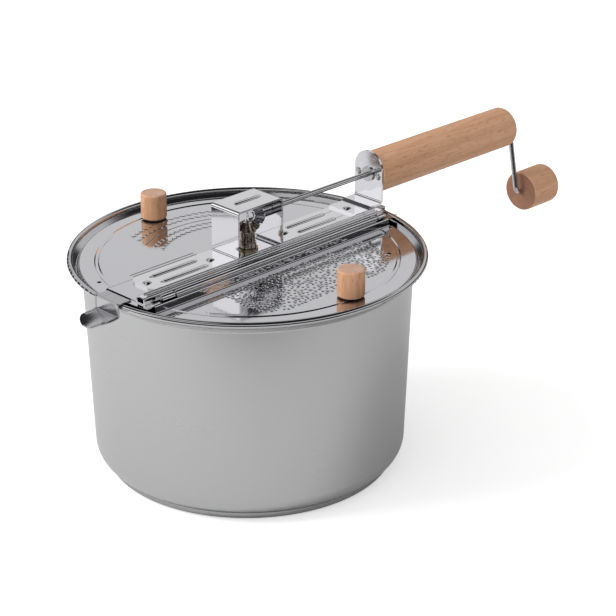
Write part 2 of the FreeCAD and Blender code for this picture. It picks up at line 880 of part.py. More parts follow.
def handle_bush():
    """Flanged bush that carries the rod in the bracket and locates the grip."""
    inside = plate_face - d.plate_sheet
    centre = (0, rod_height)
    flange = cylinder(d.bush_flange, inside - d.bush_rim, inside, "x", centre)
    barrel = cylinder(d.bush_radius, inside, plate_face + d.bush_tail, "x", centre)
    bore = cylinder(d.rod_radius + d.rod_fit, inside - d.bush_rim, plate_face + d.bush_tail, "x", centre)
    finish(cut(fuse(flange, barrel), bore), "handle_bush")


def handle_screws():
    inside = plate_face - d.plate_sheet
    screws = []
    for side in (-1, 1):
        centre = (side * d.screw_offset, rod_height)
        shank = cylinder(d.screw_radius, inside, inside + d.screw_length, "x", centre)
        start = inside - d.screw_crown
        head = crown(d.screw_head, d.screw_radius, start, d.screw_crown, "x", centre, downwards=True)
        screws.append(fuse(shank, head))
    group("handle_screws", screws)


def handle_grip():
    body = new_body("handle_grip")
    move_to(body, 0, 0, rod_height)
    profile = rectangle(plate_face, grip_end, d.grip_bore, d.grip_radius)
    turn(body, draw(body, "XZ_Plane", [profile]), "H_Axis")
    round_edges(body, "round_X", [(grip_end, d.grip_radius)], d.grip_round)
    round_edges(body, "round_X", [(plate_face, d.grip_radius)], d.grip_edge)
    well = draw(body, "YZ_Plane", circles=[((0, 0), d.bush_radius)], height=plate_face + d.bush_tail)
    pocket(body, well, d.bush_tail)
    depth = d.screw_length - d.plate_sheet
    holes = [((side * d.screw_offset, 0), d.screw_radius) for side in (-1, 1)]
    pocket(body, draw(body, "YZ_Plane", circles=holes, height=plate_face + depth), depth)


# ------------------------------------------------------------------ crank
def step_towards(start, target, length):
    """A point moved along X or Z towards another one."""
    (x0, y0), (x1, y1) = [[as_size(value) for value in point] for point in (start, target)]
    run, rise = x1 - x0, y1 - y0
    if rise.is_number(0):
        return (x0 + length * math.copysign(1, run.value), y0)
    return (x0, y0 + length * math.copysign(1, rise.value))


def draw_bend(sketch, entry, corner, leave, radius):
    """Quarter arc in place of a right-angled corner."""
    start, tip, end = [Vector(as_size(x).value, as_size(y).value, 0) for x, y in (entry, corner, leave)]
    centre = start + end - tip
    middle = centre + (tip - centre).normalize() * radius.value
    index = sketch.addGeometry(Part.Arc(start, middle, end))
    runs_forward = sketch.Geometry[index].StartPoint.distanceToPoint(start) < 1e-6
    pin_point(sketch, index, 1 if runs_forward else 2, *entry)
    pin_point(sketch, index, 2 if runs_forward else 1, *leave)
    constrain(sketch, radius, "Radius", index)


def bent_rod(body, profile, corners, bend_radius):
    """Sweeps a round profile along a path in the XZ plane that turns by right angles only."""
    spine = draw(body, "XZ_Plane")
    start = corners[0]
    for corner, after in zip(corners[1:], corners[2:]):
        entry = step_towards(corner, start, bend_radius)
        leave = step_towards(corner, after, bend_radius)
        draw_chain(spine, [start, entry])
        draw_bend(spine, entry, corner, leave, bend_radius)
        start = leave
    draw_chain(spine, [start, corners[-1]])
    feature = add_feature(body, "AdditivePipe", profile)
    feature.Spine = (spine, [""])


def crank_rod():
    """One bent rod: through the grip, down the arm and out again as the knob's pin."""
    body = new_body("crank_rod")
    body.Placement = FreeCAD.Placement(Vector(), Rotation(X_AXIS, 1))
    bind(body, "Placement.Rotation.Angle", -d.arm_angle)
    move_to(body, 0, 0, rod_height)
    corners = [
        (crank_gear_start, 0),
        (arm_place, 0),
        (arm_place, -d.arm_length),
        (knob_end - d.well_depth + d.nut_play + d.nut_sheet, -d.arm_length),
    ]
    profile = draw(body, "YZ_Plane", circles=[((0, 0), d.rod_radius)], height=crank_gear_start)
    bent_rod(body, profile, corners, d.rod_bend)


def place_on_crank_pin(item, x=0):
    move_to(item, x, -d.arm_length * sine(d.arm_angle), rod_height - d.arm_length * cosine(d.arm_angle))


def crank_knob():
    body = new_body("crank_knob")
    place_on_crank_pin(body)
    profile = rectangle(knob_start, knob_end, d.rod_radius + d.rod_fit, d.knob_radius)
    turn(body, draw(body, "XZ_Plane", [profile]), "H_Axis")
    round_edges(body, "round_X", [(knob_start, d.knob_radius), (knob_end, d.knob_radius)], d.knob_round)
    well = draw(body, "YZ_Plane", circles=[((0, 0), d.well_radius)], height=knob_end)
    pocket(body, well, d.well_depth)


def knob_retainer():
    """Cap nut on the end of the pin, sunk in the knob's well."""
    body = new_body("knob_retainer")
    place_on_crank_pin(body)
    start = knob_end - d.well_depth + d.nut_play
    rings = [((0, 0), d.nut_radius), ((0, 0), d.rod_radius)]
    pad(body, draw(body, "YZ_Plane", circles=rings, height=start), d.nut_sheet)


# ------------------------------------------------------------------ bevel gears
class BevelGear:
    """Straight-toothed bevel gear about +Z with its apex at the origin."""

    def __init__(self, teeth, mate_teeth):
        self.teeth = int(teeth.value)
        self.pitch_radius = d.gear_module.value * self.teeth / 2
        self.distance = d.gear_module.value * mate_teeth.value / 2
        self.cone = math.atan2(self.pitch_radius, self.distance)
        self.cone_length = math.hypot(self.pitch_radius, self.distance)

    def point(self, scale, rise):
        """Radius and height of a point on the back cone, the rise measured from the pitch cone."""
        along = self.cone_length * scale
        radius = along * math.sin(self.cone) + rise * scale * math.cos(self.cone)
        height = along * math.cos(self.cone) - rise * scale * math.sin(self.cone)
        return radius, height

    def blank(self, back_height):
        """Turned blank between two back cones, closed by a flat back."""
        outline = [
            (0, self.point(d.face_start.value, -d.dedendum.value)[1]),
            self.point(d.face_start.value, -d.dedendum.value),
            self.point(d.face_start.value, d.addendum.value),
            self.point(d.face_end.value, d.addendum.value),
            self.point(d.face_end.value, -d.dedendum.value),
            (self.point(d.face_end.value, -d.dedendum.value)[0], back_height),
            (0, back_height),
        ]
        points = [Vector(radius, 0, height) for radius, height in outline]
        face = Part.Face(Part.makePolygon(points + points[:1]))
        return face.revolve(Vector(), Z_AXIS, 360)

    def gap(self, turn_angle):
        """Space between two teeth: a flared slot that shrinks towards the apex."""
        half_pitch = math.pi / self.teeth
        root = self.distance * math.tan(self.cone - math.atan2(d.dedendum.value, self.cone_length))
        tip = self.distance * math.tan(self.cone + math.atan2(d.addendum.value, self.cone_length))
        tooth_at_pitch = d.tooth_share.value * half_pitch
        overshoot = tip + (tip - root) / 2
        flank = [
            (root, half_pitch - tooth_at_pitch * ROOT_SHARE),
            (self.pitch_radius, half_pitch - tooth_at_pitch),
            (tip, half_pitch - tooth_at_pitch * TIP_SHARE),
            (overshoot, half_pitch - tooth_at_pitch * TIP_SHARE / 2),
        ]
        corners = flank + [(radius, -angle) for radius, angle in flank[::-1]]
        wires = []
        for scale in (d.face_start.value / 2, d.face_end.value * 2):
            points = [Vector(radius * math.cos(angle + turn_angle), radius * math.sin(angle + turn_angle),
                             self.distance) * scale for radius, angle in corners]
            wires.append(Part.makePolygon(points + points[:1]))
        return Part.makeLoft(wires, True, True)

    def shape(self, back_height, first_gap):
        """Blank with its tooth gaps; the first one lies at a share of a pitch from the X axis."""
        step = 2 * math.pi / self.teeth
        gaps = [self.gap(step * (number + first_gap)) for number in range(self.teeth)]
        return self.blank(back_height).cut(gaps)


ROOT_SHARE = 1.35
TIP_SHARE = 0.45
HALF_PITCH = 0.5


def stirrer_phase():
    """The stirrer gear shows a gap on +X, where the crank gear has a tooth; it is turned from -X."""
    return d.stirrer_teeth.value / 2 % 1


def gear_back(gear):
    """Height of the flat back: just behind the large end of the teeth."""
    return gear.point(d.face_end.value, -d.dedendum.value)[1] + d.gear_back.value


def toothed_ring(teeth, mate_teeth, axis_turn, first_gap):
    """Gear teeth as a feature of the document, turned about Y to their axis at the common apex."""
    gear = BevelGear(teeth, mate_teeth)
    item = doc.addObject("Part::Feature", "teeth")
    item.Shape = gear.shape(gear_back(gear), first_gap)
    item.Placement = FreeCAD.Placement(Vector(), Rotation(Vector(0, 1, 0), axis_turn))
    move_to(item, 0, 0, rod_height)
    return item, gear_back(gear)


def crank_gear():
    """Gear on the end of the rod, with a plain hub that runs up to the bracket's leg."""
    ring, back = toothed_ring(d.crank_teeth, d.stirrer_teeth, 90, HALF_PITCH)
    centre = (0, rod_height)
    hub = cylinder(d.crank_hub, back, arch_inside - d.leg_play, "x", centre)
    bore = cylinder(d.rod_radius, 0, arch_inside, "x", centre)
    finish(cut(fuse(ring, hub), bore), "crank_gear")


def stirrer_gear():
    """Gear on the stirrer shaft, with a long fluted hub and a collar that runs on the bush."""
    ring, back = toothed_ring(d.stirrer_teeth, d.crank_teeth, 180, stirrer_phase())
    top = rod_height - back
    hub = cylinder(d.stirrer_hub, gear_seat, top)
    collar = cylinder(d.hub_collar, gear_seat, gear_seat + d.hub_collar_height)
    flutes = []
    for number in range(int(d.flutes.value)):
        angle = Size(360.0 * number) / d.flutes
        centre = (d.stirrer_hub * cosine(angle), d.stirrer_hub * sine(angle))
        flutes.append(cylinder(d.flute_radius, gear_seat + d.hub_collar_height, top, centre=centre))
    body = fuse(ring, cut(hub, fuse(*flutes)), collar)
    finish(cut(body, cylinder(d.shaft_radius, gear_seat, rod_height)), "stirrer_gear")


# ------------------------------------------------------------------ stirrer
def lid_bush():
    flange = cylinder(d.lid_bush_flange, land_top, land_top + d.lid_bush_rim)
    barrel = cylinder(lid_bush_radius, bar_under, land_top)
    bore = cylinder(d.shaft_radius + d.shaft_fit, bar_under, land_top + d.lid_bush_rim)
    finish(cut(fuse(flange, barrel), bore), "lid_bush")


def stirrer_shaft():
    gear = BevelGear(d.stirrer_teeth, d.crank_teeth)
    top = rod_height - gear.point(d.face_start.value, -d.dedendum.value)[1]
    finish(cylinder(d.shaft_radius, shaft_foot, top), "stirrer_shaft")


def shaft_collar():
    top = bar_under - d.thrust_play
    collar = cylinder(d.collar_radius, top - d.collar_height, top)
    bore = cylinder(d.shaft_radius, top - d.collar_height, top)
    finish(cut(collar, bore), "shaft_collar")


def stirrer_hub():
    """Hub at the foot of the shaft, cross-drilled for the wire."""
    top = hub_low + d.hub_height
    body = new_body("stirrer_hub")
    pad(body, draw(body, "XY_Plane", circles=[((0, 0), d.hub_radius)], height=hub_low), d.hub_height)
    cross = draw(body, "YZ_Plane", circles=[((0, sweep_height), d.wire_radius)])
    pocket_through(body, cross)
    socket = draw(body, "XY_Plane", circles=[((0, 0), d.shaft_radius)], height=top)
    pocket(body, socket, top - shaft_foot)


def stirrer_wire():
    """Sweep wire through the hub, with both ends turned up along the pot's wall."""
    top = sweep_height + d.sweep_rise
    body = new_body("stirrer_wire")
    corners = [
        (-sweep_reach, top),
        (-sweep_reach, sweep_height),
        (sweep_reach, sweep_height),
        (sweep_reach, top),
    ]
    profile = draw(body, "XY_Plane", circles=[((-sweep_reach, 0), d.wire_radius)], height=top)
    bent_rod(body, profile, corners, d.sweep_bend)


# ------------------------------------------------------------------ lid knobs
def lid_knobs():
    """A wooden knob on each half, on a washer, held by a screw from beneath the sheet."""
    washer_top = panel_top + d.washer_sheet
    panel_under = panel_top - d.lid_sheet
    for name, side in (("back", 1), ("front", -1)):
        place = side * lid_knob_reach
        body = new_body(name + "_knob")
        move_to(body, 0, place, 0)
        sketch = draw(body, "XY_Plane", circles=[((0, 0), d.lid_knob_radius)], height=washer_top)
        pad(body, sketch, d.lid_knob_height)
        rims = [(d.lid_knob_radius, height) for height in (washer_top, washer_top + d.lid_knob_height)]
        round_edges(body, "round_Z", rims, d.lid_knob_round)
        top = washer_top + d.knob_screw_depth
        hole = draw(body, "XY_Plane", circles=[((0, 0), d.knob_screw_radius)], height=top)
        pocket(body, hole, d.knob_screw_depth)

        washer = cylinder(d.washer_radius, panel_top, washer_top, centre=(0, place))
        hole = cylinder(d.knob_screw_radius, panel_top, washer_top, centre=(0, place))
        finish(cut(washer, hole), name + "_knob_washer")

        start = panel_under - d.knob_screw_crown
        shank = cylinder(d.knob_screw_radius, panel_under, top, centre=(0, place))
        head = crown(d.knob_screw_head, d.knob_screw_radius, start, d.knob_screw_crown,
                     centre=(0, place), downwards=True)
        finish(fuse(shank, head), name + "_knob_screw")


# ------------------------------------------------------------------ build and write
def check(item):
    states = [part.State for part in getattr(item, "Group", [item])]
    if any("Invalid" in state or "Error" in state for state in states):
        raise ValueError("%s did not compute: %s" % (item.Label, states))
    if item.Shape.isNull() or not item.Shape.isValid() or not item.Shape.Solids:
        raise ValueError("%s has no valid solid" % item.Label)


def build():
    for piece in (pot_body, heat_spreader, base_cap, fixed_lid, lid_flap, hinge_rail, hinge_pin,
                  hinge_knuckles, under_bar, rim_clips, gear_bracket, bracket_rivets, handle_bracket,
                  handle_bush, handle_screws, handle_grip, crank_rod, crank_knob, knob_retainer,
                  crank_gear, stirrer_gear, lid_bush, stirrer_shaft, shaft_collar, stirrer_hub,
                  stirrer_wire, lid_knobs):
        piece()
    doc.recompute()
    os.makedirs("parts", exist_ok=True)
    for item in PIECES:
        check(item)
        item.Shape.exportStep(os.path.join("parts", item.Label + ".step"))
    print("%d sub-parts written" % len(PIECES))


build()
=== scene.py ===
"""Looks of the stovetop popcorn popper: steel pot, clip-on lid, bevel gears and turned beech grips."""
import math

import bmesh
import bpy
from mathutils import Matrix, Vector


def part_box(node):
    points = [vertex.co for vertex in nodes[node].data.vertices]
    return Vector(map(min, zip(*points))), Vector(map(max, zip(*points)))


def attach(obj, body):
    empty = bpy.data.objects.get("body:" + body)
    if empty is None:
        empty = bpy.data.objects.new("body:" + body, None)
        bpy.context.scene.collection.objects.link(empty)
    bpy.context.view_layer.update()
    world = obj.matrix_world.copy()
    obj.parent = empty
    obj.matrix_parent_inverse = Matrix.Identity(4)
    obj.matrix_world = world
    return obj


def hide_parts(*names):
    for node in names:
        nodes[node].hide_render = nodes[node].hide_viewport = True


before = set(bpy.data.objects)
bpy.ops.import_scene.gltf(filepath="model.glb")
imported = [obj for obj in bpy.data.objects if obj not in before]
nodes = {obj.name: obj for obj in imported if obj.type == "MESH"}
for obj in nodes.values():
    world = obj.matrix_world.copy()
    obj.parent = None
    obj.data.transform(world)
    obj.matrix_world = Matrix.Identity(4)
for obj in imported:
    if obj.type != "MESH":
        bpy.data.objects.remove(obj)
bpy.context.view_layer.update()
scene = bpy.context.scene
MM = 0.001


# ---------------------------------------------------------------- colours, nodes and pieces

def colour(text):
    """A written sRGB hex colour as the linear RGBA that a socket holds."""
    parts = [int(text[i:i + 2], 16) / 255 for i in (1, 3, 5)]
    return tuple(p / 12.92 if p <= 0.04045 else ((p + 0.055) / 1.055) ** 2.4 for p in parts) + (1.0,)


def add(tree, kind, sockets=(), stops=(), **settings):
    """One node with its settings, a ramp's (place, hex colour) stops, and what each socket holds
    or is fed by."""
    node = tree.nodes.new(kind)
    for name, value in settings.items():
        setattr(node, name, value)
    if stops:
        band = node.color_ramp.elements
        band.remove(band[1])
        band[0].position, band[0].color = stops[0][0], colour(stops[0][1])
        for place, text in stops[1:]:
            band.new(place).color = colour(text)
    for key, value in dict(sockets).items():
        if isinstance(value, bpy.types.NodeSocket):
            tree.links.new(value, node.inputs[key])
        else:
            node.inputs[key].default_value = value
    return node


def at_pitch(tree, pitch, centre=(0, 0, 0)):
    """Object coordinates from a centre, stretched so that one unit is the pitch of each axis, in mm."""
    place = add(tree, "ShaderNodeTexCoord").outputs["Object"]
    middle = add(tree, "ShaderNodeMapping", {"Vector": place, "Location": [-c for c in centre]})
    scale = [1 / (length * MM) for length in pitch]
    return add(tree, "ShaderNodeMapping", {"Vector": middle.outputs[0], "Scale": scale}).outputs[0]


def new_finish(name):
    """An empty material and its node tree."""
    finish = bpy.data.materials.new(name)
    finish.use_nodes = True
    finish.node_tree.nodes.clear()
    return finish, finish.node_tree


def new_piece(name, data):
    """An object that holds the data, at the origin."""
    piece = bpy.data.objects.new(name, data)
    scene.collection.objects.link(piece)
    return piece


def close_shape(shape, name, skin):
    """The built shape as a piece with one finish."""
    mesh = bpy.data.meshes.new(name)
    shape.to_mesh(mesh)
    shape.free()
    mesh.materials.append(skin)
    return new_piece(name, mesh)


# ---------------------------------------------------------------- steels and small metals

# depth under the top of the rim where its buffed band starts, and where it is full, in mm
BUFF_START, BUFF_FULL = 12, 7


def spun_satin_steel():
    """Stainless steel spun to shape and satin polished round the pot: fine rings blur what it
    mirrors up and down, so the wall reads as soft grey bands with faint level lines. The rim is
    buffed, so its bead shows crisp dark and bright lines."""
    finish, tree = new_finish("stainless_steel_spun_satin")
    # the satin rings are 0.1 mm apart; they are drawn at about 1 mm, so that they show
    rings = add(tree, "ShaderNodeTexNoise", {
        "Vector": at_pitch(tree, (333.3, 333.3, 1.111)), "Scale": 1.0, "Detail": 4.0,
        "Roughness": 0.6})
    cloud = add(tree, "ShaderNodeTexNoise", {
        "Vector": at_pitch(tree, (111.1, 111.1, 200)), "Scale": 1.0, "Detail": 2.0})
    both = add(tree, "ShaderNodeMath", {0: rings.outputs[0], 1: cloud.outputs[0]}, operation="ADD")
    brushed = add(tree, "ShaderNodeMapRange", {
        "Value": both.outputs[0], "From Min": 0.7, "From Max": 1.3, "To Min": 0.27, "To Max": 0.33})
    place = add(tree, "ShaderNodeTexCoord").outputs["Object"]
    height = add(tree, "ShaderNodeSeparateXYZ", {"Vector": place}).outputs["Z"]
    rim_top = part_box("pot_body")[1].z
    buffed = add(tree, "ShaderNodeMapRange", {
        "Value": height, "From Min": rim_top - BUFF_START * MM, "From Max": rim_top - BUFF_FULL * MM,
        "To Min": 1.0, "To Max": 0.35})
    roughness = add(tree, "ShaderNodeMath", {0: brushed.outputs[0], 1: buffed.outputs[0]},
                    operation="MULTIPLY")
    bump = add(tree, "ShaderNodeBump", {
        "Height": rings.outputs[0], "Strength": 0.02, "Distance": 0.4 * MM})
    around = add(tree, "ShaderNodeTangent", direction_type="RADIAL", axis="Z")
    shader = add(tree, "ShaderNodeBsdfPrincipled", {
        "Base Color": colour("#BDBDBE"), "Metallic": 1.0, "Roughness": roughness.outputs[0],
        "Anisotropic": 0.5, "Normal": bump.outputs[0], "Tangent": around.outputs[0]})
    add(tree, "ShaderNodeOutputMaterial", {"Surface": shader.outputs[0]})
    return finish


def polished_sheet(name, text, roughness, wave, strength):
    """Stainless sheet rolled, pressed and buffed: a mirror whose slight waves, at a pitch in mm,
    bend reflections, with hairlines from the buffing wheel."""
    finish, tree = new_finish(name)
    waves = add(tree, "ShaderNodeTexNoise", {
        "Vector": at_pitch(tree, (wave, wave, wave)), "Scale": 1.0, "Detail": 1.0})
    # hairlines are a few hundredths of a mm wide; they are drawn 0.7 mm wide, so that they show
    hair = add(tree, "ShaderNodeTexNoise", {
        "Vector": at_pitch(tree, (16.67, 0.7143, 0.7143)), "Scale": 1.0, "Detail": 2.0})
    skin = add(tree, "ShaderNodeMath", {0: hair.outputs[0], 1: 0.06, 2: waves.outputs[0]},
               operation="MULTIPLY_ADD")
    bump = add(tree, "ShaderNodeBump", {
        "Height": skin.outputs[0], "Strength": strength, "Distance": 0.6 * MM})
    worn = add(tree, "ShaderNodeMapRange", {
        "Value": hair.outputs[0], "From Min": 0.3, "From Max": 0.7,
        "To Min": roughness * 0.7, "To Max": roughness * 1.4})
    shader = add(tree, "ShaderNodeBsdfPrincipled", {
        "Base Color": colour(text), "Metallic": 1.0, "Roughness": worn.outputs[0],
        "Normal": bump.outputs[0]})
    add(tree, "ShaderNodeOutputMaterial", {"Surface": shader.outputs[0]})
    return finish


def oiled_bronze():
    """Bronze gear hub, cast, fluted and left dark with oil: brown bronze mottled from dark to pale."""
    finish, tree = new_finish("bronze_cast_oiled")
    stain = add(tree, "ShaderNodeTexNoise", {
        "Vector": at_pitch(tree, (2.381, 2.381, 2.381)), "Scale": 1.0, "Detail": 3.0})
    tone = add(tree, "ShaderNodeValToRGB", {"Fac": stain.outputs[0]},
               stops=((0.3, "#6E625A"), (0.5, "#A19488"), (0.7, "#C9BFB4")))
    bump = add(tree, "ShaderNodeBump", {
        "Height": stain.outputs[0], "Strength": 0.3, "Distance": 0.2 * MM})
    shader = add(tree, "ShaderNodeBsdfPrincipled", {
        "Base Color": tone.outputs["Color"], "Metallic": 1.0, "Roughness": 0.22,
        "Normal": bump.outputs[0]})
    add(tree, "ShaderNodeOutputMaterial", {"Surface": shader.outputs[0]})
    return finish


def plain_metal(name, text, roughness, grit, strength):
    """Small metal part, turned or plated: a bright even skin with a little tooling texture."""
    finish, tree = new_finish(name)
    # tooling marks are about 0.1 mm apart; they are drawn at 1 to 2 mm, so that they show
    grain = add(tree, "ShaderNodeTexNoise", {
        "Vector": at_pitch(tree, (grit, grit, grit)), "Scale": 1.0, "Detail": 2.0})
    bump = add(tree, "ShaderNodeBump", {
        "Height": grain.outputs[0], "Strength": strength, "Distance": 0.2 * MM})
    shader = add(tree, "ShaderNodeBsdfPrincipled", {
        "Base Color": colour(text), "Metallic": 1.0, "Roughness": roughness,
        "Normal": bump.outputs[0]})
    add(tree, "ShaderNodeOutputMaterial", {"Surface": shader.outputs[0]})
    return finish


# ---------------------------------------------------------------- turned beech

# sockets of a Mix node that mixes colours
MIX_SHARE, MIX_UNDER, MIX_OVER, MIX_COLOUR = 0, 6, 7, 2

# dark and light tone of the end grain: sanded as the sides are, or darker as painted shade, for the crank
# knob's end that lies in shade
PALE_ENDS, SHADED_ENDS = ("#B8917C", "#C8A48F"), ("#8C6450", "#9A705A")


def figure(along, length, width):
    """Pitch of a wood figure that is long on the lathe's axis and narrow across it, in mm."""
    return [length if axis == along else width for axis in "XYZ"]


def turned_beech(name, along, centre, ends):
    """Beech turned on a lathe, sanded and oiled: straight fine grain along the axis, short brown
    flecks, and pinker end grain with faint rings, given darker tones as painted shade where an end lies in
    shade."""
    finish, tree = new_finish(name)
    fibres = add(tree, "ShaderNodeTexNoise", {
        "Vector": at_pitch(tree, figure(along, 21.74, 1.613), centre),
        "Scale": 1.0, "Detail": 3.0, "Roughness": 0.6})
    years = add(tree, "ShaderNodeTexNoise", {
        "Vector": at_pitch(tree, figure(along, 200, 7.692), centre),
        "Scale": 1.0, "Detail": 2.0, "Distortion": 0.4})
    both = add(tree, "ShaderNodeMath", {0: fibres.outputs[0], 1: years.outputs[0]}, operation="ADD")
    grain = add(tree, "ShaderNodeMath", {0: both.outputs[0], 1: 0.5}, operation="MULTIPLY").outputs[0]
    long_grain = add(tree, "ShaderNodeValToRGB", {"Fac": grain},
                     stops=((0.34, "#BE8F6C"), (0.48, "#CB9B79"), (0.62, "#D6A888")))
    # beech flecks are about 0.4 mm wide; they are drawn wider, so that they show
    pores = add(tree, "ShaderNodeTexNoise", {
        "Vector": at_pitch(tree, figure(along, 6.25, 1.111), centre), "Scale": 1.0, "Detail": 1.0})
    fleck = add(tree, "ShaderNodeMapRange", {
        "Value": pores.outputs[0], "From Min": 0.60, "From Max": 0.70, "To Min": 0.0, "To Max": 0.35})
    side = add(tree, "ShaderNodeMix", {
        MIX_SHARE: fleck.outputs[0], MIX_UNDER: long_grain.outputs["Color"],
        MIX_OVER: colour("#8A5C3E")}, data_type="RGBA")
    end_grain = add(tree, "ShaderNodeValToRGB", {"Fac": grain}, stops=((0.35, ends[0]), (0.62, ends[1])))
    normal = add(tree, "ShaderNodeTexCoord").outputs["Normal"]
    facing = add(tree, "ShaderNodeSeparateXYZ", {"Vector": normal}).outputs[along]
    flat = add(tree, "ShaderNodeMath", {0: facing}, operation="ABSOLUTE")
    end = add(tree, "ShaderNodeMapRange", {
        "Value": flat.outputs[0], "From Min": 0.75, "From Max": 0.98, "To Min": 0.0, "To Max": 1.0})
    wood = add(tree, "ShaderNodeMix", {
        MIX_SHARE: end.outputs[0], MIX_UNDER: side.outputs[MIX_COLOUR],
        MIX_OVER: end_grain.outputs["Color"]}, data_type="RGBA")
    bump = add(tree, "ShaderNodeBump", {
        "Height": fibres.outputs[0], "Strength": 0.12, "Distance": 0.3 * MM})
    shader = add(tree, "ShaderNodeBsdfPrincipled", {
        "Base Color": wood.outputs[MIX_COLOUR], "Roughness": 0.5, "Specular IOR Level": 0.25,
        "Normal": bump.outputs[0]})
    add(tree, "ShaderNodeOutputMaterial", {"Surface": shader.outputs[0]})
    return finish


# ---------------------------------------------------------------- finishes on the nodes

satin = spun_satin_steel()

# sheets: hex colour, roughness, pitch of the waves in mm, strength of their bump
# the lid is almost a mirror, with wide soft waves from the press
lid_steel = polished_sheet("stainless_steel_pressed_mirror", "#CFCFD1", 0.07, 45.45, 0.05)
# bent strip is flatter, as it keeps its rolled face; its brighter colour is painted highlight that lifts
# the arch and folds
strip_steel = polished_sheet("stainless_steel_bent_strip", "#E2E2E3", 0.09, 33.33, 0.02)
# hard spring sheet is greyer and softer, as it takes less polish
spring_steel = polished_sheet("stainless_steel_spring_clip", "#BDBDBF", 0.2, 33.33, 0.03)
# a darker steel for the cap round the foot
base_steel = polished_sheet("stainless_steel_base_cap", "#A9A9AA", 0.14, 16.67, 0.05)

# small metals: hex colour, roughness, pitch of the tooling marks in mm, strength of their bump
aluminium = plain_metal("aluminium_cast_core", "#C9CACC", 0.4, 1.111, 0.3)  # dull pale edge
chrome = plain_metal("zinc_die_cast_chromed", "#C6C6C9", 0.10, 2.0, 0.08)  # sharp glints on teeth
bright = plain_metal("steel_screw_nickel_plated", "#C9C8C6", 0.16, 1.111, 0.1)  # warm bright heads
drawn = plain_metal("steel_rod_drawn_bright", "#CDCDCE", 0.15, 1.4286, 0.1)  # one glint along a rod
sintered = plain_metal("bronze_sintered_bush", "#9A8A74", 0.34, 1.111, 0.3)  # matt brown ring
painted_shade_washer = plain_metal("steel_washer_painted_shade", "#3C3D40", 0.38, 1.111, 0.2)  # painted shade: an almost black washer draws the dark line under a knob
bronze = oiled_bronze()

FINISHES = {
    satin: ["pot_body"],
    base_steel: ["base_cap"],
    aluminium: ["heat_spreader"],
    lid_steel: ["fixed_lid", "lid_flap"],
    strip_steel: ["gear_bracket", "handle_bracket", "hinge_rail", "under_bar", "hinge_knuckle_front",
                  "hinge_knuckle_rear"],
    spring_steel: ["front_clip_saddle", "rear_clip_saddle", "front_clip_lever", "rear_clip_lever"],
    drawn: ["crank_rod", "hinge_pin", "stirrer_shaft", "stirrer_wire"],
    bright: ["bracket_rivets", "handle_screws", "back_knob_screw", "front_knob_screw", "knob_retainer",
             "shaft_collar", "stirrer_hub", "handle_bush"],
    chrome: ["crank_gear"],
    bronze: ["stirrer_gear"],
    sintered: ["lid_bush"],
    painted_shade_washer: ["back_knob_washer", "front_knob_washer"],
}
# the crank knob's ends take the darker tones: painted shade
for piece, along, ends in (("handle_grip", "X", PALE_ENDS), ("crank_knob", "X", SHADED_ENDS),
                           ("back_knob", "Z", PALE_ENDS), ("front_knob", "Z", PALE_ENDS)):
    low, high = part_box(piece)
    FINISHES[turned_beech("beech_turned_oiled_" + piece, along, (low + high) / 2, ends)] = [piece]
for finish, names in FINISHES.items():
    for name in names:
        mesh = nodes[name].data
        mesh.materials.clear()
        mesh.materials.append(finish)


# ---------------------------------------------------------------- trees of the pressed relief

# sockets of a Random Value node that draws a number
DRAW_LOW, DRAW_HIGH, DRAWN = 2, 3, 1
FULL_TURN = 6.28
# a boss's foot under the sheet and the power that rounds its top, for a boss of height and radius 1
BOSS_FOOT, BOSS_ROUND = 0.12, 1.6
# points tried for each square metre of a field: far more than the spacing lets stay
CROWD = 900000.0
# the pressed halves' lowered panel, which carries the knobs' washers
panel_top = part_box("back_knob_washer")[0].z


def relief_tree(name, sizes):
    """An empty tree that takes a path and the named sizes, and what it is given of each."""
    tree = bpy.data.node_groups.new(name, "GeometryNodeTree")
    tree.interface.new_socket(name="Path", in_out="INPUT", socket_type="NodeSocketGeometry")
    tree.interface.new_socket(name="Relief", in_out="OUTPUT", socket_type="NodeSocketGeometry")
    for label, kind in sizes:
        tree.interface.new_socket(name=label, in_out="INPUT", socket_type="NodeSocket" + kind)
    return tree, add(tree, "NodeGroupInput").outputs


def pressed_boss(tree):
    """Unit boss with a rounded top and a foot that runs out flat, closed just under the sheet."""
    ball = add(tree, "GeometryNodeMeshUVSphere", {"Segments": 14, "Rings": 8, "Radius": 1.0})
    place = add(tree, "GeometryNodeInputPosition").outputs[0]
    flat = add(tree, "ShaderNodeVectorMath", {0: place, 1: (1, 1, 0)}, operation="MULTIPLY").outputs[0]
    reach = add(tree, "ShaderNodeVectorMath", {0: flat, 1: flat}, operation="DOT_PRODUCT")
    inside = add(tree, "ShaderNodeMath", {0: 1.0, 1: reach.outputs["Value"]},
                 operation="SUBTRACT", use_clamp=True)
    crown = add(tree, "ShaderNodeMath", {0: inside.outputs[0], 1: BOSS_ROUND}, operation="POWER")
    level = add(tree, "ShaderNodeSeparateXYZ", {"Vector": place}).outputs["Z"]
    upper = add(tree, "ShaderNodeMath", {0: level, 1: 0.0001}, operation="GREATER_THAN")
    top = add(tree, "ShaderNodeMath", {0: crown.outputs[0], 1: upper.outputs[0]}, operation="MULTIPLY")
    height = add(tree, "ShaderNodeMath", {0: top.outputs[0], 1: 1 + BOSS_FOOT, 2: -BOSS_FOOT},
                 operation="MULTIPLY_ADD")
    rise = add(tree, "ShaderNodeCombineXYZ", {"Z": height.outputs[0]})
    moved = add(tree, "ShaderNodeVectorMath", {0: flat, 1: rise.outputs[0]}, operation="ADD")
    return add(tree, "GeometryNodeSetPosition", {
        "Geometry": ball.outputs["Mesh"], "Position": moved.outputs[0]}).outputs[0]


